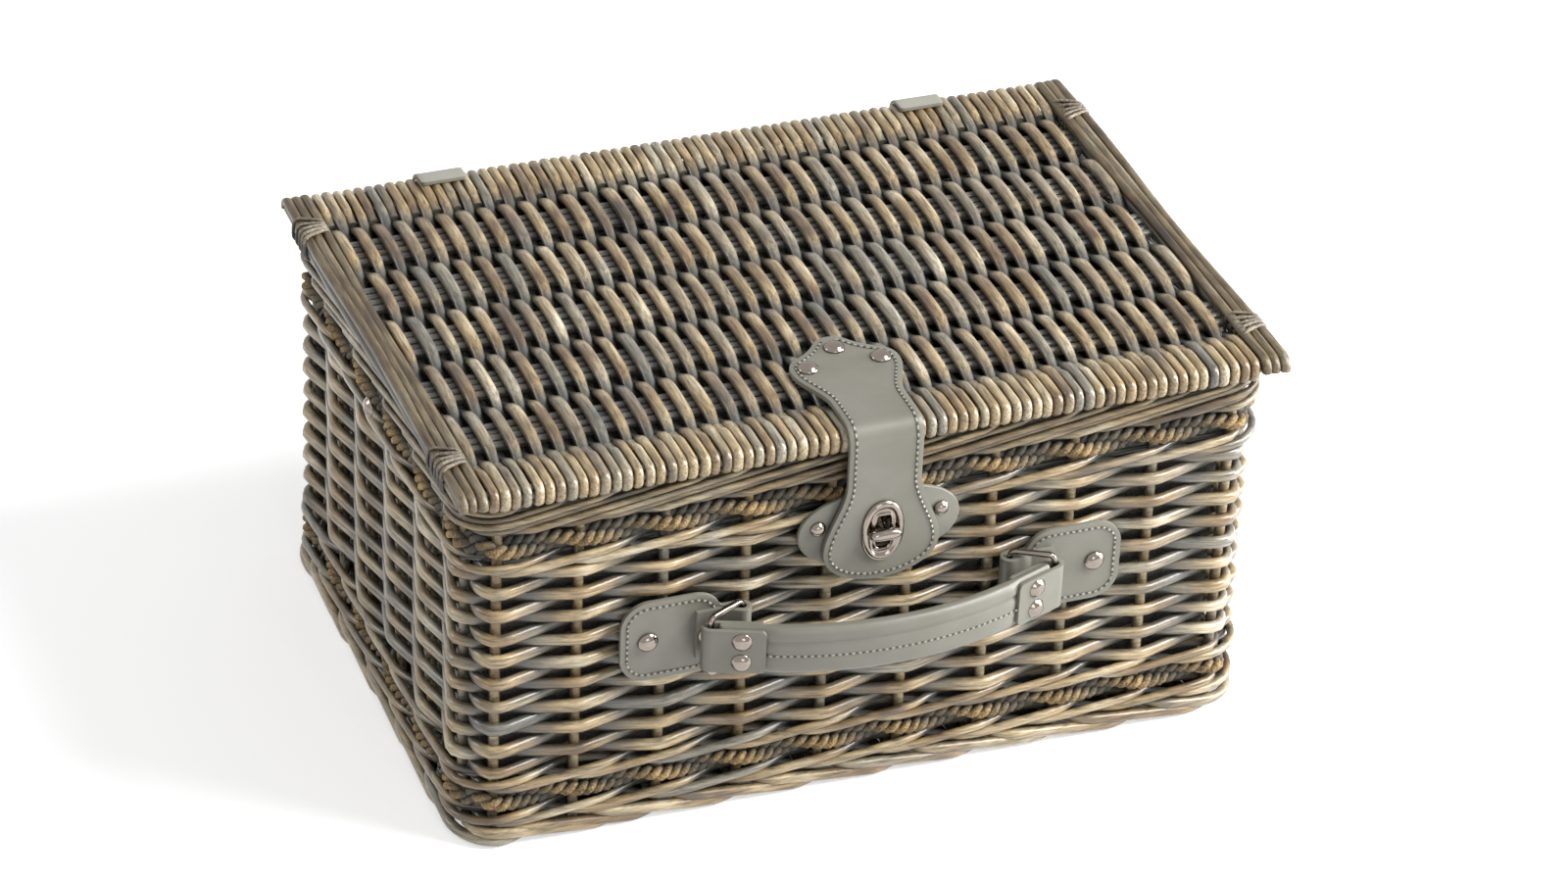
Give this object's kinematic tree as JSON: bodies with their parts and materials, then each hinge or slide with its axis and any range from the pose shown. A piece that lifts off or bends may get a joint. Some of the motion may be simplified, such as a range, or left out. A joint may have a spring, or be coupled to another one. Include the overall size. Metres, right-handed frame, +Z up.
{
  "type": "picnic basket",
  "caption": "Rectangular woven willow picnic basket with a hinged woven lid, a leather turn-lock strap and a soft leather carrying handle on the front.",
  "frame": {"origin": "on the floor under the middle of the body, on the underside of the base panel", "axes": "+X to the right along the long front, +Y from the front to the hinges at the back, +Z up"},
  "size_m": [0.4306, 0.3319, 0.2184],
  "materials": {
    "willow": "grey-washed willow, satin",
    "rope": "twisted grass rope, matt",
    "cane": "pale split cane",
    "leather": "smooth sage grey",
    "nickel": "polished nickel plate"
  },
  "bodies": {
    "basket": {"base_panel": "willow", "foot_border": "willow", "lower_wale": "willow", "lower_rope_band": "rope", "lower_top_wale": "willow", "side_weave": "willow", "upper_wale": "willow", "upper_rope_band": "rope", "rim_border": "willow", "hinge_wall_leaf_left": "leather", "hinge_rivet_left": "nickel", "lid_stay_left": "leather", "stay_rivet_left": "nickel", "hinge_wall_leaf_right": "leather", "hinge_rivet_right": "nickel", "lid_stay_right": "leather", "stay_rivet_right": "nickel", "latch_patch": "leather", "patch_rivet_left": "nickel", "patch_rivet_right": "nickel", "turnlock_base": "nickel", "handle_tab_left": "leather", "tab_rivet_left_outer": "nickel", "tab_rivet_left_inner": "nickel", "handle_tab_right": "leather", "tab_rivet_right_outer": "nickel", "tab_rivet_right_inner": "nickel"},
    "lid": {"lid_panel": "willow", "lid_end_rod_left_inner": "willow", "lid_end_rod_left_middle": "willow", "lid_end_rod_left_outer": "willow", "lid_binding_front_left": "cane", "lid_binding_back_left": "cane", "hinge_lid_leaf_left": "leather", "lid_end_rod_right_inner": "willow", "lid_end_rod_right_middle": "willow", "lid_end_rod_right_outer": "willow", "lid_binding_front_right": "cane", "lid_binding_back_right": "cane", "hinge_lid_leaf_right": "leather", "latch_strap_lid": "leather", "strap_rivet_left": "nickel", "strap_rivet_back": "nickel", "strap_rivet_right": "nickel"},
    "strap_flap": {"latch_strap_flap": "leather", "eyelet_plate": "nickel"},
    "knob": {"turn_knob": "nickel"},
    "ring_left": {"handle_ring_left": "nickel"},
    "handle_left": {"handle_loop_left": "leather", "loop_rivet_left_upper": "nickel", "loop_rivet_left_lower": "nickel", "handle_grip_left": "leather"},
    "handle_right": {"handle_grip_right": "leather", "handle_loop_right": "leather", "loop_rivet_right_upper": "nickel", "loop_rivet_right_lower": "nickel"},
    "ring_right": {"handle_ring_right": "nickel"}
  },
  "joints": [
    {"name": "lid_hinge", "type": "hinge", "parent": "basket", "child": "lid", "pos_m": [0, 0.1458, 0.19815], "axis": [-1, 0, 0], "range_deg": [0, 100], "deforming": ["lid_stay_left", "lid_stay_right"]},
    {"name": "strap_flex", "type": "hinge", "parent": "lid", "child": "strap_flap", "pos_m": [0, -0.1503, 0.2053], "axis": [-1, 0, 0], "range_deg": [0, 110]},
    {"name": "knob_turn", "type": "hinge", "parent": "basket", "child": "knob", "pos_m": [0, -0.153, 0.155], "axis": [0, -1, 0], "range_deg": [0, 90]},
    {"name": "handle_lift", "type": "hinge", "parent": "basket", "child": "ring_left", "pos_m": [-0.07, -0.1475, 0.11], "axis": [0, 0, 1], "range_deg": [0, 45]},
    {"name": "handle_left_turn", "type": "hinge", "parent": "ring_left", "child": "handle_left", "pos_m": [-0.0896, -0.15749, 0.11], "axis": [0, 0, 1], "range_deg": [-68, 0]},
    {"name": "handle_middle_bend", "type": "hinge", "parent": "handle_left", "child": "handle_right", "pos_m": [0, -0.17457, 0.11], "axis": [0, 0, 1], "range_deg": [0, 45]},
    {"name": "handle_right_turn", "type": "hinge", "parent": "handle_right", "child": "ring_right", "pos_m": [0.0896, -0.15749, 0.11], "axis": [0, 0, 1], "range_deg": [-68, 0]}
  ],
  "couplings": [
    {"joint": "handle_left_turn", "follows": "handle_lift", "ratio": -1.4944},
    {"joint": "handle_middle_bend", "follows": "handle_lift", "ratio": 0.9888},
    {"joint": "handle_right_turn", "follows": "handle_lift", "ratio": -1.4944}
  ]
}
